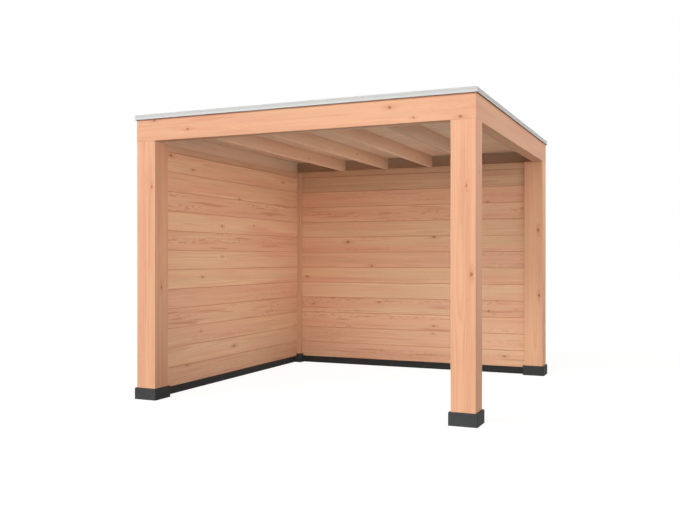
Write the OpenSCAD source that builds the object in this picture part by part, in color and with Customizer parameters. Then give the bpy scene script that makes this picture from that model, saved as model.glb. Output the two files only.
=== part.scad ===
// Flat-roofed timber patio cover: four square posts on block feet, a ring of beams that carries
// joists and a boarded roof, two closed walls of horizontal boards, and an open front and right side.
// Millimetres. The origin is on the ground at the middle of the plan, +X right and +Y to the back.

/* [Plan] */
// Width over the outer faces of the posts
width = 3000; // [2400:10:4200]
// Depth over the outer faces of the posts
depth = 3000; // [2400:10:4200]
// Clear height from the ground to the underside of the beams
clear_h = 2235; // [2000:5:2600]

/* [Posts and feet] */
// Side of the square posts
post_w = 190; // [140:5:240]
// Width of the eased edges of the posts
post_ease = 5; // [1:0.5:12]
// How far a foot stands out past its post on each side
foot_out = 15; // [5:1:40]
// Height of the feet
foot_h = 100; // [60:5:200]
// Width of the bevels on the feet
foot_bevel = 6; // [2:1:12]

/* [Roof frame] */
// Thickness of the ring beams
beam_t = 65; // [50:5:90]
// Height of the ring beams
beam_h = 220; // [180:5:300]
// Thickness of the ledgers on the inside of the beams
ledger_t = 45; // [30:5:60]
// Number of joists between the front and back ledgers
joist_n = 4; // [2:1:7]
// Thickness of the joists
joist_t = 45; // [35:1:80]
// Height of the joists and ledgers
joist_h = 120; // [90:5:150]
// Width of the eased edges of the beams, ledgers and joists
beam_ease = 3; // [1:0.5:6]

/* [Roof covering] */
// Thickness of the roof boards
deck_t = 18; // [12:1:28]
// Working width of a roof board
deck_pitch = 121; // [90:1:200]
// Thickness of the rubber membrane
membrane_t = 3; // [1.5:0.5:5]
// How far the membrane's lap and the trim's flange stay back from the arrises of a beam
lap_back = 5; // [3:1:12]

/* [Edge trim] */
// Thickness of the trim's sheet metal
trim_t = 2; // [1.5:0.5:3]
// Outer radius of the rolled nose along the top of the trim
nose_r = 6; // [4:0.5:10]
// How far the middle of the nose stands out past a beam, so that the drip edge hangs clear of the wood
trim_out = 6; // [0:0.5:12]
// How far the trim's face hangs down over a beam
trim_drop = 31; // [25:1:60]
// Height of the flared drip edge along the foot of the face
drip_h = 18; // [8:1:22]
// How far the drip edge flares out past the face
drip_flare = 3; // [1:0.5:6]
// Height of the nose's legs above the trim's flange
nose_leg = 1; // [0.5:0.5:8]

/* [Walls] */
// Thickness of the wall boards
board_t = 20; // [14:1:28]
// Working width of a wall board
board_pitch = 175; // [100:5:220]
// Height of the lowest board, which has its lower lip cut off
first_board = 170; // [90:5:220]
// Narrowest strip that is left of the board at the top of a wall
least_rip = 20; // [10:5:60]
// Width of the groove at a joint between boards
groove_w = 7; // [4:0.5:12]
// Depth of the groove at a joint between boards
groove_d = 4; // [2:0.5:8]
// How far the wall boards reach down over the bottom rail
board_lap = 4; // [2:1:20]
// Gap round a foot where the lowest wall board is notched
notch_gap = 1; // [0.5:0.5:5]

/* [Wall frame] */
// Depth of the studs and plates between the two faces of a wall
stud_d = 60; // [45:5:80]
// Thickness of the studs
stud_t = 45; // [35:1:60]
// Number of studs in a wall
stud_n = 5; // [3:1:8]
// Height of the plates under and over the studs
plate_h = 40; // [30:1:60]
// Height of the bottom rails that stand on the ground
rail_h = 80; // [50:5:90]

/* [Hidden] */

SIDES = ["front", "right", "back", "left"];
WALLS = ["left", "back"];
FACES = ["inner", "outer"];
// Each corner as its directions along X and Y
CORNERS = [for (y = [-1, 1], x = [-1, 1]) [x, y]];

function corner_name(c) = str(c.y < 0 ? "front" : "back", "_", c.x < 0 ? "left" : "right");

TIMBER = "#E0A47C";
ROOF_BOARD = "#C98F68";
FOOT_GREY = "#45494B";
TRIM_GREY = "#CDD1D3";
MEMBRANE_BLACK = "#2A2C2E";

// Levels
joist_top = clear_h + joist_h;
deck_top = joist_top + deck_t;
beam_top = clear_h + beam_h;
wall_foot = rail_h - board_lap;

// Plan lines, as distances in from the outer faces of the posts
foot_in = post_w + foot_out;
roof_in = beam_t + ledger_t;
wall_mid = post_w / 2;
foot_w = post_w + 2 * foot_out;

// The roof inside the ring of beams
roof_w = width - 2 * beam_t;
roof_d = depth - 2 * beam_t;

// The trim reaches this far out past the beams, and its flange this far in
drip_out = trim_out + nose_r + drip_flare;
trim_in = beam_t - lap_back;

function is_across(side) = side == "front" || side == "back";
function run(side) = is_across(side) ? width : depth;
function reach(side) = (is_across(side) ? depth : width) / 2;
function turn(side) = side == "front" ? 0 : side == "right" ? 90 : side == "back" ? 180 : 270;

// Outline of a rectangle with its four corners cut at 45 degrees
function eased(w, h, c) = [
    [c, 0], [w - c, 0], [w, c], [w, h - c], [w - c, h], [c, h], [0, h - c], [0, c]
];

function arc(centre, r, from, to, steps = 16) = [
    for (i = [0:steps]) let (a = from + (to - from) * i / steps) centre + r * [cos(a), sin(a)]
];

// Section of boards laid edge to edge, with a flat back at x = 0 and a groove in the face at each joint
function boarding(height, thickness, joints) = concat(
    [[0, 0], [thickness, 0]],
    [for (z = joints, p = [[0, -groove_w / 2], [-groove_d, 0], [0, groove_w / 2]])
        [thickness + p[0], z + p[1]]],
    [[thickness, height], [0, height]]
);

// Heights of the joints above the lower edge of the boards
function joints_up(height, first, pitch) = [for (z = first; z < height - least_rip; z = z + pitch) z];

// Extrudes a section along X about the middle, with its x to +Y and its y to +Z
module along_x(length) {
    rotate([90, 0, 90]) linear_extrude(length, center = true) children();
}

// Extrudes a section along Y about the middle, with its x to +X and its y to +Z
module along_y(length) {
    rotate([90, 0, 0]) linear_extrude(length, center = true) children();
}

// Places what is drawn along X at one side of the plan, this far in from the posts' outer faces
module at_side(side, inset, z) {
    rotate(turn(side)) translate([0, inset - reach(side), z]) children();
}

// Plan of a strip along one side with its ends mitred, from out past the posts' faces to this far in
module mitred_plan(side, out, inset) {
    half = run(side) / 2;
    edge = -reach(side);
    rotate(turn(side)) polygon([
        [-half - out, edge - out], [half + out, edge - out],
        [half - inset, edge + inset], [inset - half, edge + inset]
    ]);
}

// Moves what is drawn at the origin to the middle of one corner post
module at_corner(corner) {
    translate([corner.x * (width - post_w), corner.y * (depth - post_w), 0] / 2) children();
}

// Block foot with bevelled upper edges and corners
module foot(corner) {
    color(FOOT_GREY) at_corner(corner) intersection() {
        linear_extrude(foot_h) translate([-foot_w, -foot_w] / 2) polygon(eased(foot_w, foot_w, foot_bevel));
        along_x(foot_w) bevelled_side();
        along_y(foot_w) bevelled_side();
    }
}

// Side view of a foot: square at the ground, bevelled at the top
module bevelled_side() {
    half = foot_w / 2;
    polygon([
        [-half, 0], [half, 0], [half, foot_h - foot_bevel], [half - foot_bevel, foot_h],
        [foot_bevel - half, foot_h], [-half, foot_h - foot_bevel]
    ]);
}

// Square post with eased edges, from its foot to the underside of the beams
module post(corner) {
    color(TIMBER) at_corner(corner) translate([-post_w / 2, -post_w / 2, foot_h])
        linear_extrude(clear_h - foot_h) polygon(eased(post_w, post_w, post_ease));
}

// Ring beam on top of the posts, mitred at the corners
module beam(side) {
    color(TIMBER) intersection() {
        at_side(side, 0, clear_h) along_x(run(side)) polygon(eased(beam_t, beam_h, beam_ease));
        translate([0, 0, clear_h]) linear_extrude(beam_h) mitred_plan(side, 0, beam_t);
    }
}

// Ledger on the inside of a beam: the front and back ones run through, the side ones butt between them
module ledger(side) {
    length = run(side) - 2 * (is_across(side) ? beam_t : roof_in);
    color(TIMBER) at_side(side, beam_t, clear_h) along_x(length)
        polygon(eased(ledger_t, joist_h, beam_ease));
}

// Joist from the front ledger to the back one, in one of the equal bays between the posts
module joist(i) {
    bay = (width - 2 * post_w) / (joist_n + 1);
    color(TIMBER) translate([post_w - width / 2 + i * bay - joist_t / 2, 0, clear_h])
        along_y(depth - 2 * roof_in) polygon(eased(joist_t, joist_h, beam_ease));
}

// Roof boards on the joists and ledgers, with their grooved faces down
module roof_deck() {
    color(ROOF_BOARD) translate([0, -roof_d / 2, deck_top]) along_x(roof_w)
        rotate(-90) polygon(boarding(roof_d, deck_t, joints_up(roof_d, deck_pitch, deck_pitch)));
}

// Rubber membrane that lies on the roof boards
module roof_membrane() {
    color(MEMBRANE_BLACK) translate([-roof_w / 2, -roof_d / 2, deck_top])
        cube([roof_w, roof_d, membrane_t]);
}

// Rubber upstand that turns up the inside of the beams and laps over their tops
module roof_upstand() {
    foot_z = deck_top + membrane_t;
    color(MEMBRANE_BLACK) {
        translate([0, 0, foot_z]) linear_extrude(beam_top + membrane_t - foot_z) roof_ring(0);
        translate([0, 0, beam_top]) linear_extrude(membrane_t) roof_ring(beam_t - lap_back);
    }
}

// Plan of the upstand, from its inner face to this far out over the beams
module roof_ring(out) {
    difference() {
        square([roof_w + 2 * out, roof_d + 2 * out], center = true);
        square([roof_w - 2 * membrane_t, roof_d - 2 * membrane_t], center = true);
    }
}

// Section of the folded trim: x inward from the beam's outer face, y up from the top of the beam
function trim_section() =
    let (
        flange = membrane_t + trim_t,
        centre = [-trim_out, flange + nose_leg],
        bore = nose_r - trim_t,
        bend = drip_h - trim_drop
    ) concat(
        [[-drip_out, -trim_drop], [centre.x - nose_r, bend]],
        arc(centre, nose_r, 180, 0),
        [[centre.x + nose_r, flange], [trim_in, flange]],
        [[trim_in, membrane_t], [centre.x + bore, membrane_t]],
        arc(centre, bore, 0, 180),
        [[centre.x - bore, bend], [trim_t - drip_out, -trim_drop]]
    );

// Folded metal trim that caps a beam, mitred at the corners
module trim(side) {
    low = beam_top - trim_drop;
    color(TRIM_GREY) intersection() {
        at_side(side, 0, beam_top) along_x(run(side) + 2 * drip_out) polygon(trim_section());
        translate([0, 0, low]) linear_extrude(trim_drop + membrane_t + trim_t + nose_leg + nose_r)
            mitred_plan(side, drip_out, trim_in);
    }
}

// Bottom rail on the ground between two feet
module rail(wall) {
    color(FOOT_GREY) at_side(wall, wall_mid - stud_d / 2, 0) along_x(run(wall) - 2 * foot_in)
        square([stud_d, rail_h]);
}

// Bottom plate on the rail and top plate under the beam
module plates(wall) {
    color(TIMBER) for (z = [rail_h, clear_h - plate_h])
        at_side(wall, wall_mid - stud_d / 2, z) along_x(run(wall) - 2 * foot_in) square([stud_d, plate_h]);
}

// Studs between the plates, the outer ones in line with the inner faces of the feet
module studs(wall) {
    span = run(wall) - 2 * foot_in - stud_t;
    foot_z = rail_h + plate_h;
    color(TIMBER) at_side(wall, wall_mid - stud_d / 2, foot_z)
        for (i = [0:stud_n - 1])
            translate([span * (i / (stud_n - 1) - 1 / 2) - stud_t / 2, 0, 0])
                cube([stud_t, stud_d, clear_h - plate_h - foot_z]);
}

// Boards on one face of a wall, notched at the lower corners round the feet
module wall_boards(wall, face) {
    length = run(wall) - 2 * post_w;
    height = clear_h - wall_foot;
    clear_w = length - 2 * (foot_out + notch_gap);
    joints = joints_up(height, first_board, board_pitch);
    color(TIMBER) at_side(wall, wall_mid, 0) mirror([0, face == "outer" ? 1 : 0, 0])
        translate([0, stud_d / 2, 0]) intersection() {
            translate([0, 0, wall_foot]) along_x(length) polygon(boarding(height, board_t, joints));
            rotate([90, 0, 180]) linear_extrude(board_t) union() {
                translate([-clear_w / 2, 0]) square([clear_w, clear_h]);
                translate([-length / 2, foot_h + notch_gap]) square([length, clear_h - foot_h - notch_gap]);
            }
        }
}

for (c = CORNERS) foot(c);
for (c = CORNERS) post(c);
for (s = SIDES) beam(s);
for (s = SIDES) ledger(s);
for (i = [1:joist_n]) joist(i);
roof_deck();
roof_membrane();
roof_upstand();
for (s = SIDES) trim(s);
for (w = WALLS) rail(w);
for (w = WALLS) plates(w);
for (w = WALLS) studs(w);
for (w = WALLS, f = FACES) wall_boards(w, f);
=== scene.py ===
"""Dresses the wooden patio cover in its own frame: timbers, boarded walls, feet, edge trim and roof.

Lengths are in metres, +Z is up and the open front faces -Y.
"""

import logging
import math
import random
from dataclasses import dataclass, replace
from enum import Enum
from typing import Sequence

import bmesh
import bpy
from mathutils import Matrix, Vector, noise


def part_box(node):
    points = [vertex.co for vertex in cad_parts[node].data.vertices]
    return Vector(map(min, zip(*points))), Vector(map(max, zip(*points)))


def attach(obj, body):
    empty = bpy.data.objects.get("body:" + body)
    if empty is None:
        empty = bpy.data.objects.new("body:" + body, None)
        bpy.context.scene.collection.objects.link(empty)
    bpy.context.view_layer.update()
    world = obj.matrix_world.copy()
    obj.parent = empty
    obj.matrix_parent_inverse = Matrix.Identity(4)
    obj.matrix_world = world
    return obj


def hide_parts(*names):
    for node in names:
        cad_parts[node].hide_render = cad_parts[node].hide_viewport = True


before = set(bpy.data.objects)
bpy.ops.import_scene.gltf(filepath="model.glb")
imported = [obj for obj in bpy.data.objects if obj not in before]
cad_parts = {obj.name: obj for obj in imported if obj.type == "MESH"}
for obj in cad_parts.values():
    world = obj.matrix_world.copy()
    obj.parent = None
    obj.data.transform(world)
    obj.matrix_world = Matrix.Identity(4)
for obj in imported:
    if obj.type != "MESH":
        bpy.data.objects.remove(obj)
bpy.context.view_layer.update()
BODY = "root"
LOG = logging.getLogger("patio_cover")

Colour = tuple[float, float, float, float]
Point2 = tuple[float, float]
Triple = tuple[float, float, float]

FULL_LEVEL = 255
CURVE_FOOT, CURVE_SLOPE, CURVE_LIFT, CURVE_POWER = 0.04045, 12.92, 0.055, 2.4


def srgb(red: int, green: int, blue: int) -> Colour:
    """Turns a colour as a screen shows it into the linear one that shaders take.

    Args:
        red: Red, from 0 to 255.
        green: Green, from 0 to 255.
        blue: Blue, from 0 to 255.

    Returns:
        The linear colour with full alpha.
    """
    def linear(level: int) -> float:
        """One channel on the screen's curve, which starts with a straight foot."""
        share = level / FULL_LEVEL
        curved = ((share + CURVE_LIFT) / (1 + CURVE_LIFT)) ** CURVE_POWER
        return share / CURVE_SLOPE if share <= CURVE_FOOT else curved

    return linear(red), linear(green), linear(blue), 1.0


# Shader maths

class Wire:
    """An output socket that takes part in Python expressions, each of which adds its node."""

    MIDDLE = 0.5

    def __init__(self, graph: "Graph", socket: bpy.types.NodeSocket) -> None:
        """Keeps the socket and the graph that it belongs to."""
        self.graph = graph
        self.socket = socket

    def _join(self, operation: str, first: "Term", second: "Term") -> "Wire":
        """Adds the node of one operation on two terms.

        Args:
            operation: The operation's name.
            first: The left term.
            second: The right term.

        Returns:
            The result, a vector where either term is one.
        """
        vector = any(term.socket.type == "VECTOR" if isinstance(term, Wire) else isinstance(term, tuple)
                     for term in (first, second))
        kind = "ShaderNodeVectorMath" if vector else "ShaderNodeMath"
        return self.graph.add(kind, {"operation": operation}, {0: first, 1: second})

    def __add__(self, other: "Term") -> "Wire":
        """This plus another term."""
        return self._join("ADD", self, other)

    def __radd__(self, other: "Term") -> "Wire":
        """Another term plus this."""
        return self._join("ADD", other, self)

    def __sub__(self, other: "Term") -> "Wire":
        """This less another term."""
        return self._join("SUBTRACT", self, other)

    def __rsub__(self, other: "Term") -> "Wire":
        """Another term less this."""
        return self._join("SUBTRACT", other, self)

    def __mul__(self, other: "Term") -> "Wire":
        """This times another term."""
        return self._join("MULTIPLY", self, other)

    def __rmul__(self, other: "Term") -> "Wire":
        """Another term times this."""
        return self._join("MULTIPLY", other, self)

    def __truediv__(self, other: "Term") -> "Wire":
        """This over another term."""
        return self._join("DIVIDE", self, other)

    def __rtruediv__(self, other: "Term") -> "Wire":
        """Another term over this."""
        return self._join("DIVIDE", other, self)

    def fraction(self) -> "Wire":
        """What is left above the whole number below."""
        return self.graph.add("ShaderNodeMath", {"operation": "FRACT"}, {0: self})

    def larger(self, other: "Term") -> "Wire":
        """The larger of this and another term."""
        return self._join("MAXIMUM", self, other)

    def swing(self) -> "Wire":
        """A level from 0 to 1 as a swing about its middle."""
        return self - self.MIDDLE

    def rise(self, low: float, high: float) -> "Wire":
        """A smooth step from 0 at low to 1 at high."""
        return self.graph.add("ShaderNodeMapRange", {"interpolation_type": "SMOOTHSTEP"},
                              {"Value": self, "From Min": low, "From Max": high})


Term = Wire | float | Sequence[float]


@dataclass(frozen=True)
class Pattern:
    """Smooth noise: how often it changes in a metre, how fine it goes and the levels where it sets in."""

    scale: Triple | float
    detail: float = 2.0
    roughness: float = 0.5
    sets_in: Point2 | None = None

    def step(self, level: Wire) -> Wire:
        """A level of this noise, stepped where it sets in."""
        return level if self.sets_in is None else level.rise(*self.sets_in)


class Graph:
    """A node tree and the one way to add nodes to it."""

    MIX_FACTOR, MIX_FIRST, MIX_SECOND, MIX_RESULT = 0, 6, 7, 2
    SEEN_RAYS = ("Is Camera Ray", "Is Glossy Ray", "Is Transmission Ray")

    def __init__(self, tree: bpy.types.NodeTree) -> None:
        """Starts from an empty tree."""
        self.tree = tree
        self.tree.nodes.clear()

    def node(self, kind: str, settings: dict | None = None, inputs: dict | None = None) -> bpy.types.Node:
        """Adds a node, sets its settings first and then its sockets.

        Args:
            kind: The node's type.
            settings: Its settings by name.
            inputs: Values or wires by socket name or index.

        Returns:
            The node.
        """
        node = self.tree.nodes.new(kind)
        for key, value in (settings or {}).items():
            setattr(node, key, value)
        for key, value in (inputs or {}).items():
            socket = node.inputs[key]
            if isinstance(value, Wire):
                self.tree.links.new(value.socket, socket)
            elif socket.type == "VECTOR" and isinstance(value, (int, float)):
                socket.default_value = (value, value, value)
            else:
                socket.default_value = value
        return node

    def add(self, kind: str, settings: dict | None = None, inputs: dict | None = None,
            output: int | str = 0) -> Wire:
        """The wire of one output of a new node."""
        return Wire(self, self.node(kind, settings, inputs).outputs[output])

    def attribute(self, name: str, output: str = "Vector") -> Wire:
        """A vector or number that the mesh carries."""
        return self.add("ShaderNodeAttribute", {"attribute_name": name}, output=output)

    def split(self, vector: Wire) -> tuple[Wire, Wire, Wire]:
        """The three numbers of a vector."""
        node = self.node("ShaderNodeSeparateXYZ", inputs={0: vector})
        return tuple(Wire(self, socket) for socket in node.outputs)

    def length(self, first: Wire, second: Wire) -> Wire:
        """The length of two numbers taken as a flat vector."""
        flat = self.add("ShaderNodeCombineXYZ", inputs={0: first, 1: second})
        return self.add("ShaderNodeVectorMath", {"operation": "LENGTH"}, {0: flat}, "Value")

    def noise(self, place: Wire, pattern: Pattern) -> Wire:
        """The plain level of a pattern at a place, from 0 to 1."""
        return self.add("ShaderNodeTexNoise", inputs={
            "Vector": place * pattern.scale, "Scale": 1.0, "Detail": pattern.detail,
            "Roughness": pattern.roughness})

    def stepped(self, place: Wire, pattern: Pattern) -> Wire:
        """The level of a pattern at a place, stepped where it sets in."""
        return pattern.step(self.noise(place, pattern))

    def mix(self, factor: Term, first: Term, second: Term, blend: str = "MIX") -> Wire:
        """Two colours mixed by a factor."""
        return self.add("ShaderNodeMix", {"data_type": "RGBA", "blend_type": blend},
                        {self.MIX_FACTOR: factor, self.MIX_FIRST: first, self.MIX_SECOND: second},
                        self.MIX_RESULT)

    def bump(self, height: Wire, distance: float) -> Wire:
        """A normal that follows a height given as a share of distance."""
        return self.add("ShaderNodeBump", inputs={"Height": height, "Distance": distance, "Strength": 1.0})

    def looked_at(self) -> Wire:
        """Tells the rays that show a thing from those that light it.

        Returns:
            1 for rays from the camera, from a mirror or through glass, and 0 for the rest.
        """
        outputs = self.node("ShaderNodeLightPath").outputs
        camera, mirror, glass = (Wire(self, outputs[name]) for name in self.SEEN_RAYS)
        return camera.larger(mirror).larger(glass)

    def surface(self, shader: Wire, target: str = "ShaderNodeOutputMaterial") -> None:
        """Joins a shader to the tree's output."""
        self.node(target, inputs={"Surface": shader})


# Finishes

@dataclass(frozen=True)
class Finish:
    """A material that is made once and shared by its pieces."""

    name: str

    def material(self) -> bpy.types.Material:
        """Draws the finish the first time that it is asked for.

        Returns:
            The finish's material.
        """
        found = bpy.data.materials.get(self.name)
        if found is None:
            found = bpy.data.materials.new(self.name)
            found.use_nodes = True
            self.draw(Graph(found.node_tree))
        return found

    def draw(self, graph: Graph) -> None:
        """Adds the finish's nodes to an empty graph."""
        raise NotImplementedError


@dataclass(frozen=True)
class TimberFinish(Finish):
    """Planed softwood with growth rings, fibres, rosy bands, red flames, chains of flecks and knots."""

    straw: Colour
    rose: Colour
    blush: Colour
    late: Colour
    flame: Colour
    knot: Colour
    halo: Colour
    groove: Colour
    ring_pitch: float = 0.0065
    ring_depth: float = 0.40
    blush_depth: float = 0.40
    flame_depth: float = 0.30
    fleck_depth: float = 0.15
    tone_depth: float = 0.05
    roughness: float = 0.60

    SWAY = Pattern((0.55, 3.5, 3.5))
    SWAY_REACH = 0.040
    RIPPLE = Pattern((3.0, 22.0, 22.0))
    RIPPLE_REACH = 0.004
    LATE_RISE = (0.25, 0.88)
    LATE_FALL = (0.92, 1.0)
    FIBRE = Pattern((4.0, 260.0, 260.0), detail=3.0)
    FIBRE_DEPTH = 0.12
    STREAK = Pattern((0.45, 24.0, 24.0), detail=4.0, roughness=0.6)
    STREAK_DEPTH = 0.24
    PATCH = Pattern((0.8, 9.0, 9.0), sets_in=(0.34, 0.66))
    PATCH_RED = 0.16
    BLUSH = Pattern((0.8, 14.0, 14.0), sets_in=(0.50, 0.70))
    FLAME = Pattern((1.5, 34.0, 34.0), sets_in=(0.56, 0.70))
    FLECK = Pattern((17.0, 62.0, 62.0), detail=1.0, sets_in=(0.52, 0.66))
    CHAIN = Pattern((0.9, 15.0, 15.0), detail=1.0, sets_in=(0.50, 0.62))
    VIVID_RISE = (-0.8, 0.9)
    CORE_UNEVEN = Pattern(90.0)
    CORE_UNEVEN_REACH = 0.7
    CORE_SLIM = 0.72
    CORE_EDGE = (0.45, 1.2)
    KNOT_DEPTH = 0.8
    HALO_SLIM = 0.32
    HALO_EDGE = (0.5, 2.6)
    HALO_DEPTH = 0.4
    PUSH_EDGE = (0.0, 4.0)
    PUSH_REACH = 1.6
    RELIEF = 0.0004
    LATE_RELIEF = 0.5
    FIBRE_RELIEF = 0.5
    CORE_RELIEF = 0.4
    SHEEN = 0.3
    LATE_GLOSS = 0.08
    FIBRE_GLOSS = 0.12
    CORE_GLOSS = 0.1

    def draw(self, graph: Graph) -> None:
        """Adds the finish's nodes to an empty graph.

        Args:
            graph: The graph that the nodes go to.
        """
        grain = graph.attribute("grain")
        light, red, lively = graph.split(graph.attribute("tone"))
        core, halo, push = self._knot(graph, grain)
        late = self._late(graph, grain, push)
        fibre, streak = graph.noise(grain, self.FIBRE), graph.noise(grain, self.STREAK)

        wood = self._figure(graph, grain, red, lively.rise(*self.VIVID_RISE), late)
        shade = (1 + light * self.tone_depth + fibre.swing() * self.FIBRE_DEPTH
                 + streak.swing() * self.STREAK_DEPTH)
        wood = graph.mix(graph.attribute("groove", "Fac"), wood, self.groove)
        wood = graph.mix(1.0, wood, shade, "MULTIPLY")
        wood = graph.mix(halo * self.HALO_DEPTH, wood, self.halo)
        wood = graph.mix(core * self.KNOT_DEPTH, wood, self.knot)

        height = late * self.LATE_RELIEF + fibre * self.FIBRE_RELIEF - core * self.CORE_RELIEF
        gloss = late * self.LATE_GLOSS - fibre.swing() * self.FIBRE_GLOSS + core * self.CORE_GLOSS
        graph.surface(graph.add("ShaderNodeBsdfPrincipled", inputs={
            "Base Color": wood,
            "Roughness": self.roughness - gloss,
            "Specular IOR Level": self.SHEEN,
            "Normal": graph.bump(height, self.RELIEF),
        }))

    def _late(self, graph: Graph, grain: Wire, push: Wire) -> Wire:
        """Draws the late wood of the growth rings.

        Args:
            graph: The graph that the nodes go to.
            grain: The place in the timber.
            push: How far a knot pushes the rings aside.

        Returns:
            1 in late wood and 0 in early wood.
        """
        _, across, through = graph.split(grain)
        sway = graph.noise(grain, self.SWAY).swing() * self.SWAY_REACH
        ripple = graph.noise(grain, self.RIPPLE).swing() * self.RIPPLE_REACH
        distance = graph.length(across, through) + sway + ripple + push
        ring = (distance / self.ring_pitch).fraction()
        return ring.rise(*self.LATE_RISE) * (1 - ring.rise(*self.LATE_FALL))

    def _figure(self, graph: Graph, grain: Wire, red: Wire, vivid: Wire, late: Wire) -> Wire:
        """Draws the wood's colour without its knots.

        Args:
            graph: The graph that the nodes go to.
            grain: The place in the timber.
            red: How rosy the timber is, from -1 to 1.
            vivid: How strong its flames are, from 0 to 1.
            late: The late wood of its rings.

        Returns:
            The colour.
        """
        rosy = self.PATCH.step(graph.noise(grain, self.PATCH) + red * self.PATCH_RED)
        blush, flame = graph.stepped(grain, self.BLUSH), graph.stepped(grain, self.FLAME)
        fleck, chain = graph.stepped(grain, self.FLECK), graph.stepped(grain, self.CHAIN)
        wood = graph.mix(rosy, self.straw, self.rose)
        wood = graph.mix(blush * self.blush_depth, wood, self.blush)
        wood = graph.mix(late * self.ring_depth, wood, self.late)
        wood = graph.mix(flame * vivid * self.flame_depth, wood, self.flame)
        return graph.mix(fleck * chain * vivid * self.fleck_depth, wood, self.flame)

    def _knot(self, graph: Graph, grain: Wire) -> tuple[Wire, Wire, Wire]:
        """Draws the knot that a face carries.

        Args:
            graph: The graph that the nodes go to.
            grain: The place in the timber.

        Returns:
            The dark core, the stained grain round it, and how far it pushes the rings aside.
        """
        along, across, radius = graph.split(graph.attribute("knot"))
        uneven = graph.noise(grain, self.CORE_UNEVEN).swing() * self.CORE_UNEVEN_REACH
        core = 1 - (graph.length(along * self.CORE_SLIM, across) / radius + uneven).rise(*self.CORE_EDGE)
        stretched = graph.length(along * self.HALO_SLIM, across) / radius
        halo = 1 - stretched.rise(*self.HALO_EDGE)
        push = (1 - stretched.rise(*self.PUSH_EDGE)) * radius * self.PUSH_REACH
        return core, halo, push


@dataclass(frozen=True)
class CloudedFinish(Finish):
    """A stuff that clouds over to a second colour, with a fine texture in its colour and relief."""

    base: Colour
    second: Colour
    cloud: Pattern
    cloud_share: float
    fine: Pattern
    fine_share: float
    relief: float
    roughness: float
    cloud_rough: float = 0.0
    fine_rough: float = 0.0
    sheen: float = 0.5
    metallic: float = 0.0

    def draw(self, graph: Graph) -> None:
        """Adds the finish's nodes to an empty graph.

        Args:
            graph: The graph that the nodes go to.
        """
        place = graph.add("ShaderNodeTexCoord", output="Object")
        cloud, fine = graph.noise(place, self.cloud), graph.noise(place, self.fine)
        share = self.cloud.step(cloud) * self.cloud_share + self.fine.step(fine) * self.fine_share
        graph.surface(graph.add("ShaderNodeBsdfPrincipled", inputs={
            "Base Color": graph.mix(share, self.base, self.second),
            "Roughness": self.roughness + cloud.swing() * self.cloud_rough + fine.swing() * self.fine_rough,
            "Specular IOR Level": self.sheen,
            "Metallic": self.metallic,
            "Normal": graph.bump(fine, self.relief),
        }))


@dataclass(frozen=True)
class FloorFinish(Finish):
    """A pale studio floor that reads as white and keeps a faint shadow.

    It lights the object softly from below, between its walls and from far off on its right.
    """

    white: Colour = (1.0, 1.0, 1.0, 1.0)
    wash: float = 0.86
    paper: float = 1.08
    under: float = 1.22
    under_tint: Triple = (0.87, 1.0, 1.05)
    under_centre: Point2 = (0.5, -0.2)
    under_edge: Point2 = (0.7, 2.0)
    left_fade: Point2 = (-1.3, -0.8)
    back_fade: Point2 = (0.8, 1.3)
    right: float = 2.2
    right_edge: Point2 = (6.5, 8.0)
    right_spread: Point2 = (0.64, 0.78)

    def draw(self, graph: Graph) -> None:
        """Adds the finish's nodes to an empty graph.

        Args:
            graph: The graph that the nodes go to.
        """
        x, y, _ = graph.split(graph.add("ShaderNodeNewGeometry", output="Position"))
        distance = graph.length(x, y)
        near = graph.length(x - self.under_centre[0], y - self.under_centre[1])
        clear = x.rise(*self.left_fade) * (1 - y.rise(*self.back_fade)) * self.under
        under = (1 - near.rise(*self.under_edge)) * clear * self.under_tint
        right = distance.rise(*self.right_edge) * (x / distance).rise(*self.right_spread) * self.right
        glow = graph.add("ShaderNodeEmission", inputs={"Color": under + right, "Strength": 1.0})
        plain = graph.add("ShaderNodeBsdfDiffuse", inputs={"Color": self.white})
        paper = graph.add("ShaderNodeEmission", inputs={"Color": self.white, "Strength": self.paper})
        shown = graph.add("ShaderNodeMixShader", inputs={0: self.wash, 1: plain, 2: paper})
        graph.surface(graph.add("ShaderNodeMixShader", inputs={0: graph.looked_at(), 1: glow, 2: shown}))


TIMBER = TimberFinish(
    "planed_timber", straw=srgb(222, 172, 136), rose=srgb(218, 163, 131), blush=srgb(215, 153, 123),
    late=srgb(204, 143, 111), flame=srgb(196, 126, 97), knot=srgb(150, 86, 52), halo=srgb(196, 130, 96),
    groove=srgb(196, 134, 104))
BOARDS = replace(
    TIMBER, name="planed_boards", straw=srgb(234, 193, 155), rose=srgb(232, 181, 148),
    blush=srgb(227, 165, 134), late=srgb(215, 160, 127), flame=srgb(206, 138, 109),
    knot=srgb(158, 98, 64), halo=srgb(202, 141, 107), groove=srgb(224, 164, 132), ring_pitch=0.0085,
    tone_depth=0.045, blush_depth=0.55, flame_depth=0.7, fleck_depth=0.6)
# Paler copy of the wall boards for the roof boards: painted light, lifting the underside of the roof where
# it lies in shade.
ROOF_BOARDS_PAINTED_LIGHT = replace(
    BOARDS, name="planed_roof_boards_painted_light", straw=srgb(245, 211, 178), rose=srgb(243, 205, 174),
    blush=srgb(240, 195, 166), late=srgb(230, 184, 154), flame=srgb(227, 172, 143),
    groove=srgb(222, 176, 147))
# Paler, less red copy of the timber for the joists and the front ledger: painted light, lifting them in the
# shade under the roof.
JOISTS_PAINTED_LIGHT = replace(
    TIMBER, name="planed_joists_painted_light", straw=srgb(239, 204, 170), rose=srgb(237, 197, 165),
    blush=srgb(234, 188, 157), late=srgb(224, 178, 147), flame=srgb(220, 166, 137))
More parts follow.
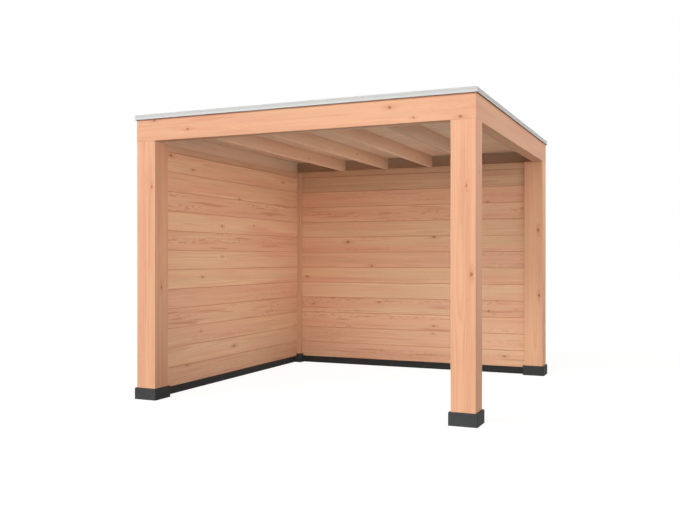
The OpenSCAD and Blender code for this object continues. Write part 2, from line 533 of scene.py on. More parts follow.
# Darker, greyer copy of the timber for the back ledger: painted shade, where it sits in shade under the
# roof.
BACK_LEDGER_PAINTED_SHADE = replace(
    TIMBER, name="planed_back_ledger_painted_shade", straw=srgb(204, 178, 150), rose=srgb(200, 171, 144),
    blush=srgb(195, 162, 135), late=srgb(170, 138, 112), flame=srgb(164, 128, 102), ring_depth=0.7)
# Still paler copy for the left ledger: painted light on its face in the shade along the top of the left
# wall.
LEFT_LEDGER_PAINTED_LIGHT = replace(
    JOISTS_PAINTED_LIGHT, name="planed_left_ledger_painted_light", straw=srgb(250, 226, 197), rose=srgb(248, 220, 192),
    blush=srgb(246, 212, 185), late=srgb(238, 204, 177), flame=srgb(234, 196, 168))
# Greyer, less red copy of the timber for the back left post: painted shade, for the post in the room's
# shade.
CORNER_POST_PAINTED_SHADE = replace(
    TIMBER, name="planed_corner_post_painted_shade", straw=srgb(219, 173, 139), rose=srgb(216, 165, 134),
    blush=srgb(213, 156, 126), late=srgb(201, 144, 113), flame=srgb(194, 128, 100))
SAWN = CloudedFinish(
    "sawn_framing", base=srgb(200, 150, 110), second=srgb(232, 192, 152),
    cloud=Pattern(9.0, detail=4.0), cloud_share=0.6, fine=Pattern((60.0, 60.0, 240.0)), fine_share=0.4,
    relief=0.0006, roughness=0.85, fine_rough=0.1)
MOULDED = CloudedFinish(
    "dark_composite", base=srgb(65, 67, 67), second=srgb(79, 81, 81),
    cloud=Pattern(11.0, detail=5.0, roughness=0.65, sets_in=(0.42, 0.75)), cloud_share=0.5,
    fine=Pattern(420.0, sets_in=(0.55, 0.8)), fine_share=0.35,
    relief=0.0005, roughness=0.62, cloud_rough=0.2, sheen=0.05)
# Darker copy of the feet's composite for the bottom rails: painted shade, where the rails sit in shade at
# the floor.
RAIL_PAINTED_SHADE = replace(
    MOULDED, name="dark_composite_painted_shade", base=srgb(54, 55, 55), second=srgb(65, 66, 66), sheen=0.1)
METAL = CloudedFinish(
    "satin_aluminium", base=srgb(178, 181, 181), second=srgb(189, 191, 191),
    cloud=Pattern(5.0, detail=4.0), cloud_share=0.6, fine=Pattern((1.5, 1.5, 260.0)), fine_share=0.3,
    relief=0.00003, roughness=0.55, cloud_rough=0.1, fine_rough=0.16, sheen=0.3, metallic=0.04)
RUBBER = CloudedFinish(
    "roofing_rubber", base=srgb(34, 35, 37), second=srgb(62, 63, 65),
    cloud=Pattern(2.2, detail=6.0, roughness=0.6, sets_in=(0.4, 0.75)), cloud_share=0.55,
    fine=Pattern(160.0, sets_in=(0.55, 0.8)), fine_share=0.2,
    relief=0.0006, roughness=0.80, cloud_rough=0.15)
FLOOR = FloorFinish("studio_floor")


# Meshes

class Side(Enum):
    """A side of a timber: the index of its axis, and which way along it the side faces."""

    LEFT = (0, -1)
    RIGHT = (0, 1)
    FRONT = (1, -1)
    BACK = (1, 1)
    UNDER = (2, -1)
    TOP = (2, 1)

    @classmethod
    def facing(cls, normal: Vector) -> "Side":
        """The side that a normal points to most."""
        axis = max(range(3), key=lambda index: abs(normal[index]))
        return cls((axis, 1 if normal[axis] > 0 else -1))


class Axis(Enum):
    """An axis of the frame, by its index."""

    X = 0
    Y = 1
    Z = 2

    @property
    def across(self) -> tuple[int, int]:
        """Indices of the two axes across this one."""
        return tuple(index for index in range(3) if index != self.value)

    def beside(self, side: Side) -> int:
        """Index of the axis that is across both this one and a side's own."""
        return next(index for index in self.across if index != side.value[0])


class Cast(Enum):
    """The look of a board: how light, red and lively it is; the two darkest casts are painted shade."""

    PLAIN = (0.0, 0.0, 0.0)
    PALE = (0.5, -0.6, -0.4)
    # Painted shade: a much darker, less red cast for the top boards under the roof.
    DUSKY = (-3.4, -0.8, -0.5)
    # Painted shade: a darker, greyer cast for one board of the back wall.
    SOBER = (-0.8, -0.8, -0.2)
    ROSY = (0.0, 0.8, 0.1)
    FLAMED = (-0.1, 0.5, 1.0)


@dataclass(frozen=True)
class Stock:
    """A straight length of material: the corners of its box, and the axis that it runs along."""

    low: Vector
    high: Vector
    run: Axis

    @property
    def start(self) -> float:
        """Where it starts along its run."""
        return self.low[self.run.value]

    @property
    def end(self) -> float:
        """Where it ends along its run."""
        return self.high[self.run.value]


@dataclass(frozen=True)
class Knot:
    """A knot on one side of a timber, with its places along and across the grain in the frame."""

    side: Side
    along: float
    across: float
    radius: float


@dataclass(frozen=True)
class BoardJoint:
    """The joint between two boards: a V in the face, and at its root a shadow gap down to the tongue."""

    width: float = 0.007
    depth: float = 0.0035
    gap: float = 0.0007
    root: float = 0.008


def rounded_rectangle(low: Point2, high: Point2, radius: float, steps: int = 3) -> list[Point2]:
    """The outline of a rectangle with round corners.

    Args:
        low: Its lowest corner.
        high: Its highest corner.
        radius: The corners' radius.
        steps: Flats in each corner.

    Returns:
        Points in order round the outline.
    """
    points = []
    centres = ((high[0] - radius, high[1] - radius), (low[0] + radius, high[1] - radius),
               (low[0] + radius, low[1] + radius), (high[0] - radius, low[1] + radius))
    for quarter, (centre_a, centre_b) in enumerate(centres):
        for step in range(steps + 1):
            angle = math.pi / 2 * (quarter + step / steps)
            points.append((centre_a + radius * math.cos(angle), centre_b + radius * math.sin(angle)))
    return points


def cell_corners(column: int, row: int) -> tuple[tuple[int, int], ...]:
    """The corners of a cell of a grid, in order round it."""
    return (column, row), (column + 1, row), (column + 1, row + 1), (column, row + 1)


class PieceMesh:
    """A mesh in the making, which becomes one dressed piece."""

    def __init__(self, name: str) -> None:
        """Starts an empty mesh."""
        self.name = name
        self.mesh = bmesh.new()

    def skin(self, loops: Sequence[Sequence[Vector]]) -> list[bmesh.types.BMFace]:
        """Joins closed loops of as many points into a capped solid.

        Args:
            loops: The loops, in order along the solid.

        Returns:
            The solid's faces, facing outwards.
        """
        rings = [[self.mesh.verts.new(point) for point in loop] for loop in loops]
        count = len(rings[0])
        faces = [self.mesh.faces.new(rings[0]), self.mesh.faces.new(rings[-1])]
        for lower, upper in zip(rings, rings[1:]):
            for index in range(count):
                after = (index + 1) % count
                faces.append(self.mesh.faces.new((lower[index], lower[after], upper[after], upper[index])))
        bmesh.ops.recalc_face_normals(self.mesh, faces=faces)
        return faces

    def prism(self, stock: Stock, ease: float, stations: Sequence[float],
              mitred: Side | None = None) -> list[bmesh.types.BMFace]:
        """Adds a straight bar with eased edges.

        Args:
            stock: What it is cut from.
            ease: Radius of its edges.
            stations: Places along it where its sides are parted, its ends included.
            mitred: The long side of a bar whose ends are cut at 45 degrees.

        Returns:
            Its faces.
        """
        low, high, run = stock.low, stock.high, stock.run.value
        first, second = stock.run.across
        profile = rounded_rectangle((low[first], low[second]), (high[first], high[second]), ease)
        loops = []
        for station in stations:
            loop = [Vector() for _ in profile]
            for point, (place_a, place_b) in zip(loop, profile):
                point[first], point[second], point[run] = place_a, place_b, station
                if mitred is not None:
                    axis, sign = mitred.value
                    cut = (high[axis] - point[axis]) if sign > 0 else (point[axis] - low[axis])
                    point[run] += cut * ((station == stations[0]) - (station == stations[-1]))
            loops.append(loop)
        return self.skin(loops)

    def place(self, finish: Finish, slot: str, nodes: Sequence[str]) -> bpy.types.Object:
        """Ends the mesh as a piece that stands for its solids.

        Args:
            finish: What it is dressed with.
            slot: Not used.
            nodes: The solids that it replaces.

        Returns:
            The piece.
        """
        data = bpy.data.meshes.new(self.name)
        self.mesh.to_mesh(data)
        self.mesh.free()
        data.materials.append(finish.material())
        piece = bpy.data.objects.new(self.name, data)
        bpy.context.scene.collection.objects.link(piece)
        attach(piece, BODY)
        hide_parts(*nodes)
        LOG.info("%s: %d faces for %s", self.name, len(data.polygons), ", ".join(nodes))
        return piece


class TimberMesh(PieceMesh):
    """A mesh of timbers that carries each one's grain, tone and knots."""

    NO_KNOT = Vector((1.0, 1.0, 0.001))
    KNOT_CLEAR = 0.15
    KNOT_EDGE = 0.2
    KNOT_RADII = (0.004, 0.009)
    COUNT_DOUBT = 0.5
    LOG_LENGTH = 40.0
    BOXED_PITH = 0.025
    SLAB_PITH = (0.03, 0.10)

    def __init__(self, name: str, seed: int) -> None:
        """Starts an empty mesh.

        Args:
            name: The piece's name.
            seed: What sets the chance in its grain and knots.
        """
        super().__init__(name)
        self.dice = random.Random(seed)
        self.grain = self.mesh.verts.layers.float_vector.new("grain")
        self.tone = self.mesh.verts.layers.float_vector.new("tone")
        self.knot = self.mesh.loops.layers.float_vector.new("knot")
        self.groove = self.mesh.loops.layers.float.new("groove")

    def bar(self, stock: Stock, ease: float, knots: Sequence[Knot], spacing: float,
            mitred: Side | None = None, tone: Triple | None = None) -> None:
        """Adds a straight timber with eased edges.

        Args:
            stock: What it is cut from.
            ease: Radius of its edges.
            knots: Knots at known places.
            spacing: Length of timber to each knot left to chance, on sides with no known one.
            mitred: The long side of a timber whose ends are cut at 45 degrees.
            tone: How light, red and lively it is, or None to leave that to chance.
        """
        known = {knot.side for knot in knots}
        free = [side for side in Side if side.value[0] != stock.run.value and side not in known]
        knots = self._with_chance(stock, knots, free, spacing)
        faces = self.prism(stock, ease, self._stations(stock, knots), mitred)
        self._grow(faces, stock, knots, tone)

    def board(self, stock: Stock, face: Side, joined: tuple[bool, bool], joint: BoardJoint,
              knots: Sequence[Knot] = (), spacing: float | None = None, notch: Point2 | None = None,
              tone: Triple | None = None) -> None:
        """Adds a cladding board with half a joint along its edges.

        Args:
            stock: What it is cut from.
            face: The side that shows.
            joined: Whether its lower and its upper edge meet another board.
            joint: The joint there.
            knots: Knots at known places.
            spacing: Length of board to each knot left to chance, or None where all are known.
            notch: Length and height cut from both lower corners.
            tone: How light, red and lively it is, or None to leave that to chance.
        """
        low, high, run = stock.low, stock.high, stock.run.value
        out, sign = face.value
        up = stock.run.beside(face)
        front, back = (high[out], low[out]) if sign > 0 else (low[out], high[out])
        root = front - sign * joint.root
        levels = {"front": (front, joint.width / 2),
                  "shoulder": (front - sign * joint.depth, joint.gap / 2),
                  "root": (root, joint.gap / 2), "tongue": (root, 0.0), "back": (back, 0.0)}
        if spacing is not None:
            knots = self._with_chance(stock, knots, [face], spacing)
        stations = self._stations(stock, knots)
        rows = [low[up], high[up]]
        if notch is not None:
            stations = [stations[0], stations[0] + notch[0], *stations[1:-1],
                        stations[-1] - notch[0], stations[-1]]
            rows.insert(1, low[up] + notch[1])
        last_row, last_column = len(rows) - 1, len(stations) - 1
        made: dict[tuple[int, int, str], bmesh.types.BMVert] = {}

        def meets(row: int) -> bool:
            """Whether another board meets this one at the height of a row."""
            return (row == 0 and joined[0]) or (row == last_row and joined[1])

        def layers(row: int) -> list[str]:
            """The layers from front to back at the height of a row."""
            return list(levels) if meets(row) else ["front", "back"]

        def vertex(column: int, row: int, layer: str) -> bmesh.types.BMVert:
            """Finds the corner of a cell on one layer of the board, or makes it.

            Args:
                column: The station along the board.
                row: The height on the board.
                layer: How deep it lies.

            Returns:
                The corner.
            """
            key = column, row, layer
            if key not in made:
                point = Vector()
                point[run], point[up] = stations[column], rows[row]
                point[out], inset = levels[layer]
                if meets(row):
                    point[up] += inset if row == 0 else -inset
                made[key] = self.mesh.verts.new(point)
            return made[key]

        def present(column: int, row: int) -> bool:
            """Tells the board's cells from its notches and from what lies beyond it.

            Args:
                column: The cell's place along the board.
                row: Its place up the board.

            Returns:
                Whether the board has a cell there.
            """
            inside = 0 <= column < last_column and 0 <= row < last_row
            cut = notch is not None and row == 0 and column in (0, last_column - 1)
            return inside and not cut

        faces, grooves = [], []
        cells = [(c, r) for c in range(last_column) for r in range(last_row) if present(c, r)]
        for column, row in cells:
            for layer in ("front", "back"):
                corners = cell_corners(column, row)
                faces.append(self.mesh.faces.new([vertex(c, r, layer) for c, r in corners]))
            for edge, beyond in ((row, row - 1), (row + 1, row + 1)):
                if not present(column, beyond):
                    depths = layers(edge)
                    strips = [self.mesh.faces.new((
                        vertex(column, edge, near), vertex(column + 1, edge, near),
                        vertex(column + 1, edge, far), vertex(column, edge, far)))
                        for near, far in zip(depths, depths[1:])]
                    faces += strips
                    if meets(edge):
                        grooves += strips
            for edge, beyond in ((column, column - 1), (column + 1, column + 1)):
                if not present(beyond, row):
                    lower = [vertex(edge, row, layer) for layer in layers(row)]
                    upper = [vertex(edge, row + 1, layer) for layer in layers(row + 1)]
                    faces.append(self.mesh.faces.new(lower + upper[::-1]))
        bmesh.ops.recalc_face_normals(self.mesh, faces=faces)
        self._grow(faces, stock, knots, tone)
        for loop in (loop for one in grooves for loop in one.loops):
            loop[self.groove] = 1.0

    def _with_chance(self, stock: Stock, knots: Sequence[Knot], sides: Sequence[Side],
                     spacing: float) -> list[Knot]:
        """Adds knots left to chance to the known ones.

        Args:
            stock: What the timber is cut from.
            knots: The known knots.
            sides: Sides that may have more.
            spacing: Length of timber to each of those, on each side.

        Returns:
            All knots.
        """
        found = list(knots)
        for side in sides:
            across = stock.run.beside(side)
            width = stock.high[across] - stock.low[across]
            doubt = self.dice.uniform(-self.COUNT_DOUBT, self.COUNT_DOUBT)
            for _ in range(round((stock.end - stock.start) / spacing + doubt)):
                along = self.dice.uniform(stock.start + self.KNOT_CLEAR, stock.end - self.KNOT_CLEAR)
                offset = self.dice.uniform(self.KNOT_EDGE, 1 - self.KNOT_EDGE) * width
                radius = self.dice.uniform(*self.KNOT_RADII)
                if all(abs(along - knot.along) > self.KNOT_CLEAR for knot in found):
                    found.append(Knot(side, along, stock.low[across] + offset, radius))
        return found

    @staticmethod
    def _stations(stock: Stock, knots: Sequence[Knot]) -> list[float]:
        """Places along a timber that keep its knots apart, its ends included."""
        places = sorted(knot.along for knot in knots)
        return [stock.start, *((near + far) / 2 for near, far in zip(places, places[1:])), stock.end]

    def _grow(self, faces: Sequence[bmesh.types.BMFace], stock: Stock, knots: Sequence[Knot],
              tone: Triple | None) -> None:
        """Gives a timber its grain, tone and knots.

        Args:
            faces: The timber's faces.
            stock: What it is cut from.
            knots: Its knots.
            tone: How light, red and lively it is, or None to leave that to chance.
        """
        run, size = stock.run.value, stock.high - stock.low
        wide, thin = sorted(stock.run.across, key=lambda index: -size[index])
        pith = (stock.low + stock.high) / 2
        if size[wide] < 2 * size[thin]:
            pith[wide] += self.dice.uniform(-self.BOXED_PITH, self.BOXED_PITH)
            pith[thin] += self.dice.uniform(-self.BOXED_PITH, self.BOXED_PITH)
        else:
            pith[wide] += self.dice.uniform(-size[wide] / 2, size[wide] / 2)
            pith[thin] += self.dice.choice((-1, 1)) * (size[thin] / 2 + self.dice.uniform(*self.SLAB_PITH))
        start = self.dice.uniform(0.0, self.LOG_LENGTH)
        tone = Vector(tone or [self.dice.uniform(-1.0, 1.0) for _ in range(3)])
        for vert in {vert for one in faces for vert in one.verts}:
            offset = vert.co - pith
            vert[self.grain] = Vector((vert.co[run] + start, offset[wide], offset[thin]))
            vert[self.tone] = tone
        for one in faces:
            side = Side.facing(one.normal)
            middle = one.calc_center_median()[run]
            knot = min(knots, key=lambda each: abs(each.along - middle), default=None)
            for loop in one.loops:
                loop[self.knot] = self.NO_KNOT
                if knot is not None and knot.side is side:
                    place, across = loop.vert.co, stock.run.beside(side)
                    loop[self.knot] = Vector((place[run] - knot.along, place[across] - knot.across,
                                              knot.radius))


# Sub-assemblies

@dataclass(frozen=True)
class Post:
    """A corner post: where it stands, how light, red and lively it is, its knots and its finish."""

    corner: str
    tone: Triple
    knots: Sequence[Knot] = ()
    finish: TimberFinish = TIMBER


@dataclass
class CornerPosts:
    """The four corner posts on their feet."""

    ease: float = 0.005
    foot_bevel: float = 0.006
    foot_steps: int = 4
    knot_spacing: float = 1.1
    seed: int = 11

    POSTS = (
        Post("front_left", (0.0, -0.6, 0.5),
             (Knot(Side.RIGHT, 0.97, -1.407, 0.011), Knot(Side.FRONT, 1.84, -1.345, 0.010))),
        Post("front_right", (0.0, -0.3, 0.5),
             (Knot(Side.FRONT, 1.106, 1.466, 0.013), Knot(Side.FRONT, 1.75, 1.43, 0.008),
              Knot(Side.RIGHT, 1.86, -1.40, 0.008))),
        # The back posts' tones are painted light and shade: the back right post is made lighter and less
        # red, and the back left one less red, with a greyer copy of the timber.
        Post("back_right", (1.6, -1.4, -0.2),
             (Knot(Side.FRONT, 1.518, 1.453, 0.014), Knot(Side.FRONT, 0.838, 1.462, 0.013))),
        Post("back_left", (-0.4, -1.4, -0.2), finish=CORNER_POST_PAINTED_SHADE),
    )

    def build(self) -> None:
        """Makes every post and its foot."""
        for index, post in enumerate(self.POSTS):
            corner = post.corner
            timber = TimberMesh(f"{corner}_post", self.seed + index)
            timber.bar(Stock(*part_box(f"post_{corner}"), Axis.Z), self.ease, post.knots, self.knot_spacing,
                       tone=post.tone)
            timber.place(post.finish, "timber", [f"post_{corner}"])
            self._foot(corner)

    def _foot(self, corner: str) -> None:
        """Makes a foot, a block with rounded upper edges.

        Args:
            corner: The corner that it stands at.
        """
        low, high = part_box(f"foot_{corner}")
        radius = self.foot_bevel
        heights = [(low.z, 0.0)]
        for step in range(self.foot_steps + 1):
            angle = math.pi / 2 * step / self.foot_steps
            heights.append((high.z - radius + radius * math.sin(angle), radius * (1 - math.cos(angle))))
        loops = []
        for height, inset in heights:
            outline = rounded_rectangle((low.x + inset, low.y + inset), (high.x - inset, high.y - inset),
                                        radius, self.foot_steps)
            loops.append([Vector((*place, height)) for place in outline])
        foot = PieceMesh(f"{corner}_foot")
        foot.skin(loops)
        foot.place(MOULDED, "foot", [f"foot_{corner}"])


@dataclass(frozen=True)
class RoofEdge:
    """A side of the roof: its name, where it faces, its run, its ledger's finish and its beam's knots."""

    name: str
    outer: Side
    run: Axis
    ledger: TimberFinish
    knots: Sequence[Knot] = ()


@dataclass
class RoofFrame:
    """The mitred ring of beams, the ledgers inside it and the joists between them."""

    ease: float = 0.003
    joist_ease: float = 0.003
    knot_spacing: float = 0.8
    joist_knots: float = 2.6
    seed: int = 31

    # The ledgers take painted light and shade copies of the timber: paler at the front and left, darker and
    # greyer at the back.
    EDGES = (
        RoofEdge("front", Side.FRONT, Axis.X, JOISTS_PAINTED_LIGHT,
                 (Knot(Side.FRONT, -1.316, 2.408, 0.011), Knot(Side.FRONT, -0.977, 2.315, 0.011),
                  Knot(Side.FRONT, 0.837, 2.362, 0.013), Knot(Side.FRONT, 1.386, 2.256, 0.012),
                  Knot(Side.FRONT, 1.027, 2.272, 0.008))),
        RoofEdge("right", Side.RIGHT, Axis.Y, TIMBER, (Knot(Side.RIGHT, 0.40, 2.31, 0.006),)),
        RoofEdge("back", Side.BACK, Axis.X, BACK_LEDGER_PAINTED_SHADE),
        RoofEdge("left", Side.LEFT, Axis.Y, LEFT_LEDGER_PAINTED_LIGHT),
    )
    # Painted light and shade: the joists are made lighter on the left and much darker on the right, evening
    # out how light falls on them.
    JOIST_PAINTED_LIGHT_AND_SHADE = ((1.4, -0.6, -0.4), (0.3, -0.4, -0.2), (-0.4, 0.0, -0.4), (-4.0, 0.0, -0.6))

    def build(self) -> None:
        """Makes every beam, ledger and joist."""
        count = len(self.EDGES)
        for index, edge in enumerate(self.EDGES):
            side = edge.name
            beam = TimberMesh(f"{side}_beam", self.seed + index)
            beam.bar(Stock(*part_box(f"beam_{side}"), edge.run), self.ease, edge.knots, self.knot_spacing,
                     edge.outer)
            beam.place(TIMBER, "timber", [f"beam_{side}"])
            ledger = TimberMesh(f"{side}_ledger", self.seed + count + index)
            ledger.bar(Stock(*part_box(f"ledger_{side}"), edge.run), self.joist_ease, (), self.joist_knots)
            ledger.place(edge.ledger, "timber", [f"ledger_{side}"])
        for number, tone in enumerate(self.JOIST_PAINTED_LIGHT_AND_SHADE, 1):
            joist = TimberMesh(f"roof_joist_{number}", self.seed + 2 * count + number)
            joist.bar(Stock(*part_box(f"joist_{number}"), Axis.Y), self.joist_ease, (), self.joist_knots,
                      tone=tone)
            joist.place(JOISTS_PAINTED_LIGHT, "timber", [f"joist_{number}"])


@dataclass
class RoofDeck:
    """The roof boards, laid along the width with their V joints to the room."""

    board_pitch: float = 0.121
    joint: BoardJoint = BoardJoint()
    knot_spacing: float = 1.5
    seed: int = 61

    def build(self) -> None:
        """Makes the boards as one piece."""
        low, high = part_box("roof_deck")
        deck = TimberMesh("roof_boards", self.seed)
        count = math.ceil((high.y - low.y) / self.board_pitch)
        for index in range(count):
            start = low.y + index * self.board_pitch
            end = min(start + self.board_pitch, high.y)
            stock = Stock(Vector((low.x, start, low.z)), Vector((high.x, end, high.z)), Axis.X)
            deck.board(stock, Side.UNDER, (index > 0, index < count - 1), self.joint,
                       spacing=self.knot_spacing)
        deck.place(ROOF_BOARDS_PAINTED_LIGHT, "roof_boards", ["roof_deck"])


@dataclass
class RoofCovering:
    """The rubber sheet on the roof boards, turned up inside the beams and lapped over them."""

    cove: float = 0.026
    cove_steps: int = 8
    cell: float = 0.07
    ripple: float = 0.0016
    ripple_scale: float = 2.6
    crease: float = math.radians(40)

    def build(self) -> None:
        """Makes the sheet as one closed piece."""
        floor_low, floor_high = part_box("roof_membrane")
        turned_low, turned_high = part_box("roof_upstand")
        sheet = floor_high.z - floor_low.z
        edge_x = self._lines(turned_high.x, floor_high.x, sheet)
        edge_y = self._lines(turned_high.y, floor_high.y, sheet)
        covering = PieceMesh("roof_covering")
        tops, under = {}, {}
        for column, x in enumerate(edge_x):
            for row, y in enumerate(edge_y):
                inside = min(floor_high.x - abs(x), floor_high.y - abs(y))
                height = self._height(inside - sheet, floor_high.z, turned_high.z, x, y)
                tops[column, row] = covering.mesh.verts.new((x, y, height))
                under[column, row] = covering.mesh.verts.new((x, y, height - sheet))
        last_column, last_row = len(edge_x) - 1, len(edge_y) - 1
        for column in range(last_column):
            for row in range(last_row):
                for layer in (tops, under):
                    covering.mesh.faces.new([layer[corner] for corner in cell_corners(column, row)])
        rim = [(column, 0) for column in range(last_column)]
        rim += [(last_column, row) for row in range(last_row)]
        rim += [(column, last_row) for column in range(last_column, 0, -1)]
        rim += [(0, row) for row in range(last_row, 0, -1)]
        for near, far in zip(rim, rim[1:] + rim[:1]):
            covering.mesh.faces.new((tops[near], tops[far], under[far], under[near]))
        bmesh.ops.recalc_face_normals(covering.mesh, faces=covering.mesh.faces)
        piece = covering.place(RUBBER, "membrane", ["roof_membrane", "roof_upstand"])
        piece.data.shade_smooth()
        piece.data.set_sharp_from_angle(angle=self.crease)

    def _lines(self, lap: float, wall: float, sheet: float) -> list[float]:
        """Grid lines across the roof, close together where the sheet turns up.

        Args:
            lap: Half the width out to the lap's edge.
            wall: Half the width inside the beams.
            sheet: Thickness of the sheet.

        Returns:
            Places from one edge to the other.
        """
        shares = [1 - math.cos(math.pi / 2 * step / self.cove_steps) for step in range(self.cove_steps + 1)]
        turn = [wall - sheet - self.cove * share for share in shares]
        count = round(2 * turn[-1] / self.cell)
        field = [turn[-1] * (1 - 2 * index / count) for index in range(1, count)]
        edge = [lap, wall, *turn]
        return edge + field + [-place for place in reversed(edge)]

    def _height(self, inside: float, floor: float, top: float, x: float, y: float) -> float:
        """Height of the sheet's upper face.

        Args:
            inside: Distance in from the turned-up sheet's face.
            floor: Height on the roof boards.
            top: Height where it laps over the beams.
            x: Place across the roof.
            y: Place along the roof.

        Returns:
            The height.
        """
        if inside <= 0:
            return top
        share = min(inside / self.cove, 1.0)
        curve = 1 - math.sqrt(max(0.0, 1 - (1 - share) ** 2))
        wave = (1 + noise.noise(Vector((x, y, 0.0)) * self.ripple_scale)) / 2
        return floor + (top - floor) * curve + self.ripple * wave * share


@dataclass
class BoardedWall:
    """A wall clad on both faces, with its bottom rail and the framing between the boards."""

    name: str
    run: Axis
    inner: Side
    outer: Side
    low_corner: str
    seed: int
    knots: Sequence[Knot] = ()
    casts: Sequence[Cast] = ()
    first_board: float = 0.170
    board_pitch: float = 0.175
    least_rip: float = 0.020
    joint: BoardJoint = BoardJoint()
    outer_knots: float = 1.4
    notch_gap: float = 0.001
    rail_ease: float = 0.003

    def build(self) -> None:
        """Makes both faces and the rail, and dresses the framing."""
        self._face("inner", self.inner, self.knots, None, self.casts)
        self._face("outer", self.outer, (), self.outer_knots, ())
        stock = Stock(*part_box(f"rail_{self.name}"), self.run)
        rail = PieceMesh(f"{self.name}_bottom_rail")
        rail.prism(stock, self.rail_ease, (stock.start, stock.end))
        rail.place(RAIL_PAINTED_SHADE, "rail", [f"rail_{self.name}"])
        for node in (f"plates_{self.name}", f"studs_{self.name}"):
            dress(node, SAWN)

    def _face(self, which: str, face: Side, knots: Sequence[Knot], spacing: float | None,
              casts: Sequence[Cast]) -> None:
        """Makes the boards of one face.

        Args:
            which: Inner or outer, as in the solid's name.
            face: The side that the boards show.
            knots: Knots at known places.
            spacing: Length of board to each knot left to chance, or None where all are known.
            casts: The looks of its boards from the floor up, or none to leave them to chance.
        """
        node = f"{self.name}_wall_{which}"
        low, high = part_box(node)
        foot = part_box(f"foot_{self.low_corner}")[1]
        notch = (foot[self.run.value] + self.notch_gap - low[self.run.value],
                 foot.z + self.notch_gap - low.z)
        joints = [low.z, low.z + self.first_board]
        while joints[-1] + self.board_pitch < high.z - self.least_rip:
            joints.append(joints[-1] + self.board_pitch)
        joints.append(high.z)
        boards = TimberMesh(f"{self.name}_{which}_boards", self.seed + face.value[1])
        for index, (bottom, top) in enumerate(zip(joints, joints[1:])):
            here = [knot for knot in knots if bottom < knot.across < top]
            lower, upper = low.copy(), high.copy()
            lower.z, upper.z = bottom, top
            boards.board(Stock(lower, upper, self.run), face, (index > 0, top < high.z), self.joint, here,
                         spacing, notch if index == 0 else None, casts[index].value if casts else None)
        boards.place(BOARDS, "wall_boards", [node])


def dress(node: str, finish: Finish) -> None:
    """Gives a solid that stays in view its finish.

    Args:
        node: The solid's name.
        finish: What it is dressed with.
    """
    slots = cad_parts[node].data.materials
    slots.clear()
    slots.append(finish.material())
    LOG.info("%s: dressed with %s", node, finish.name)


@dataclass
class EdgeTrim:
    """The folded metal trim along the roof's edges."""

    sides: Sequence[str] = ("front", "right", "back", "left")

    def build(self) -> None:
        """Dresses every length of trim."""
        for side in self.sides:
            dress(f"trim_{side}", METAL)


@dataclass
class Studio:
    """The floor, the soft light and the camera."""

    floor_reach: float = 40.0
    zenith: float = 0.30
    horizon: float = 2.7
    horizon_band: Point2 = (0.07, 0.37)
    far_share: float = 0.4
    far_band: Point2 = (-0.5, 0.5)
    lit_from: Point2 = (0.707, -0.707)
    ambient_tint: Triple = (1.08, 1.0, 0.94)
    lamp_spread: float = math.radians(24)
    lamp_rise: float = math.radians(30)
    key_strength: float = 2.1
    key_turn: float = math.radians(-40)
    fill_strength: float = 0.74
    fill_turn: float = 0.0
    camera_at: Triple = (2.945, -7.250, 1.222)
    camera_turn: float = math.radians(23.633)
    lens: float = 42.87
    sensor: float = 36.0
    rise: float = 0.00506

    def build(self) -> None:
        """Makes the floor, the light and the camera, and sets how colours are shown."""
        bpy.context.scene.view_settings.view_transform = "Standard"
        self._floor()
        self._world()
        self._lamp("key_light", self.key_strength, self.key_turn)
        self._lamp("front_light", self.fill_strength, self.fill_turn)
        self._camera()

    def _floor(self) -> None:
        """Makes the pale floor that the feet stand on."""
        reach = self.floor_reach
        data = bpy.data.meshes.new("studio_floor")
        data.from_pydata([(-reach, -reach, 0), (reach, -reach, 0), (reach, reach, 0), (-reach, reach, 0)],
                         [], [(0, 1, 2, 3)])
        data.materials.append(FLOOR.material())
        floor = bpy.data.objects.new("studio_floor", data)
        bpy.context.scene.collection.objects.link(floor)

    def _world(self) -> None:
        """Lights the object from all round, most from low down at the front right, before plain white."""
        world = bpy.data.worlds.new("studio_light")
        world.use_nodes = True
        graph = Graph(world.node_tree)
        x, y, rise = graph.split(graph.add("ShaderNodeTexCoord", output="Generated"))
        ahead = (x * self.lit_from[0] + y * self.lit_from[1]).rise(*self.far_band)
        share = self.far_share + ahead * (1 - self.far_share)
        low = 1 - rise.rise(*self.horizon_band)
        level = self.zenith + low * (share * self.horizon - self.zenith)
        soft = graph.add("ShaderNodeBackground", inputs={
            "Color": level * self.ambient_tint, "Strength": 1.0})
        white = graph.add("ShaderNodeBackground", inputs={"Color": FLOOR.white, "Strength": 1.0})
        graph.surface(graph.add("ShaderNodeMixShader", inputs={0: graph.looked_at(), 1: soft, 2: white}),
                      "ShaderNodeOutputWorld")
        bpy.context.scene.world = world

    def _lamp(self, name: str, strength: float, turn: float) -> None:
        """Adds a broad lamp at the front.

        Args:
            name: The lamp's name.
            strength: Its strength.
            turn: How far it stands round to the right of the front.
        """
        data = bpy.data.lights.new(name, "SUN")
        data.energy, data.angle = strength, self.lamp_spread
        level = math.cos(self.lamp_rise)
        place = Vector((math.sin(turn) * level, -math.cos(turn) * level, math.sin(self.lamp_rise)))
        lamp = bpy.data.objects.new(name, data)
        lamp.rotation_euler = place.to_track_quat("Z", "Y").to_euler()
        bpy.context.scene.collection.objects.link(lamp)

    def _camera(self) -> None:
        """Sets the camera at the viewing angle."""
        data = bpy.data.cameras.new("front_camera")
        data.lens, data.sensor_width, data.shift_y = self.lens, self.sensor, self.rise
        camera = bpy.data.objects.new("front_camera", data)
        camera.location = self.camera_at
        camera.rotation_euler = (math.pi / 2, 0.0, self.camera_turn)
        bpy.context.scene.collection.objects.link(camera)
        bpy.context.scene.camera = camera


# Knots and looks of the inner boards; the darkest looks, on the top boards and one back board, are painted
# shade

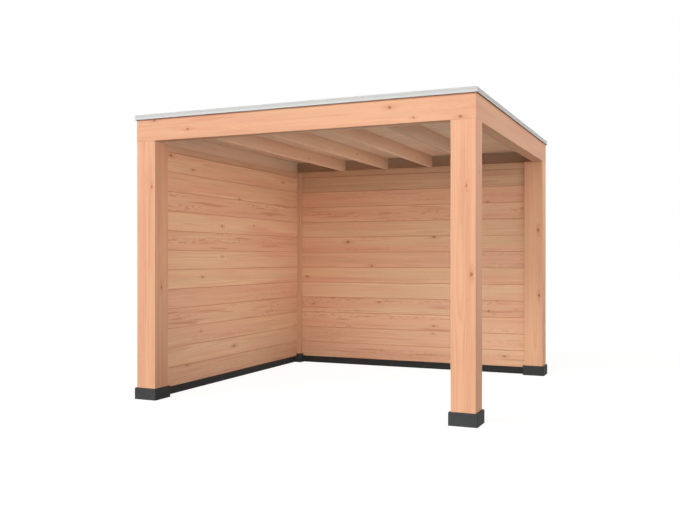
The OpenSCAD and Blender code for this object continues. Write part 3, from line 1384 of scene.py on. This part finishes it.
LARGE, MIDDLING, SMALL = 0.016, 0.011, 0.008
LEFT_KNOTS = tuple(Knot(Side.RIGHT, along, height, radius) for along, height, radius in (
    (-1.205, 2.145, LARGE), (-0.855, 2.05, MIDDLING), (0.955, 2.09, MIDDLING), (-0.015, 1.827, MIDDLING),
    (-0.345, 1.545, MIDDLING), (0.29, 1.57, SMALL), (-0.34, 1.24, SMALL), (-0.695, 1.045, MIDDLING),
    (-0.72, 0.53, SMALL), (-0.115, 0.33, LARGE), (-0.95, 0.237, MIDDLING)))
BACK_KNOTS = tuple(Knot(Side.FRONT, along, height, radius) for along, height, radius in (
    (-0.72, 1.412, LARGE), (0.312, 1.462, LARGE), (-0.425, 1.136, MIDDLING), (-1.24, 1.01, MIDDLING),
    (-0.92, 0.767, SMALL), (-0.336, 0.724, MIDDLING), (0.307, 0.476, MIDDLING), (0.30, 0.391, SMALL),
    (-1.16, 0.69, SMALL), (0.91, 1.828, MIDDLING), (0.923, 0.658, MIDDLING), (1.092, 0.18, MIDDLING)))
LEFT_CASTS = (Cast.PLAIN, Cast.PALE, Cast.PLAIN, Cast.FLAMED, Cast.ROSY, Cast.PALE, Cast.PALE, Cast.FLAMED,
              Cast.PALE, Cast.FLAMED, Cast.PLAIN, Cast.PALE, Cast.DUSKY)
BACK_CASTS = (Cast.FLAMED, Cast.ROSY, Cast.FLAMED, Cast.FLAMED, Cast.PALE, Cast.PALE, Cast.ROSY, Cast.PLAIN,
              Cast.SOBER, Cast.FLAMED, Cast.ROSY, Cast.DUSKY, Cast.DUSKY)


# Building

def main() -> None:
    """Builds the patio cover piece by piece, then the studio round it."""
    logging.basicConfig(level=logging.INFO, format="%(name)s %(message)s")
    CornerPosts().build()
    RoofFrame().build()
    RoofDeck().build()
    RoofCovering().build()
    EdgeTrim().build()
    BoardedWall("left", Axis.Y, inner=Side.RIGHT, outer=Side.LEFT, low_corner="front_left", seed=81,
                knots=LEFT_KNOTS, casts=LEFT_CASTS).build()
    BoardedWall("back", Axis.X, inner=Side.FRONT, outer=Side.BACK, low_corner="back_left", seed=91,
                knots=BACK_KNOTS, casts=BACK_CASTS).build()
    Studio().build()


if __name__ == "__main__":
    main()
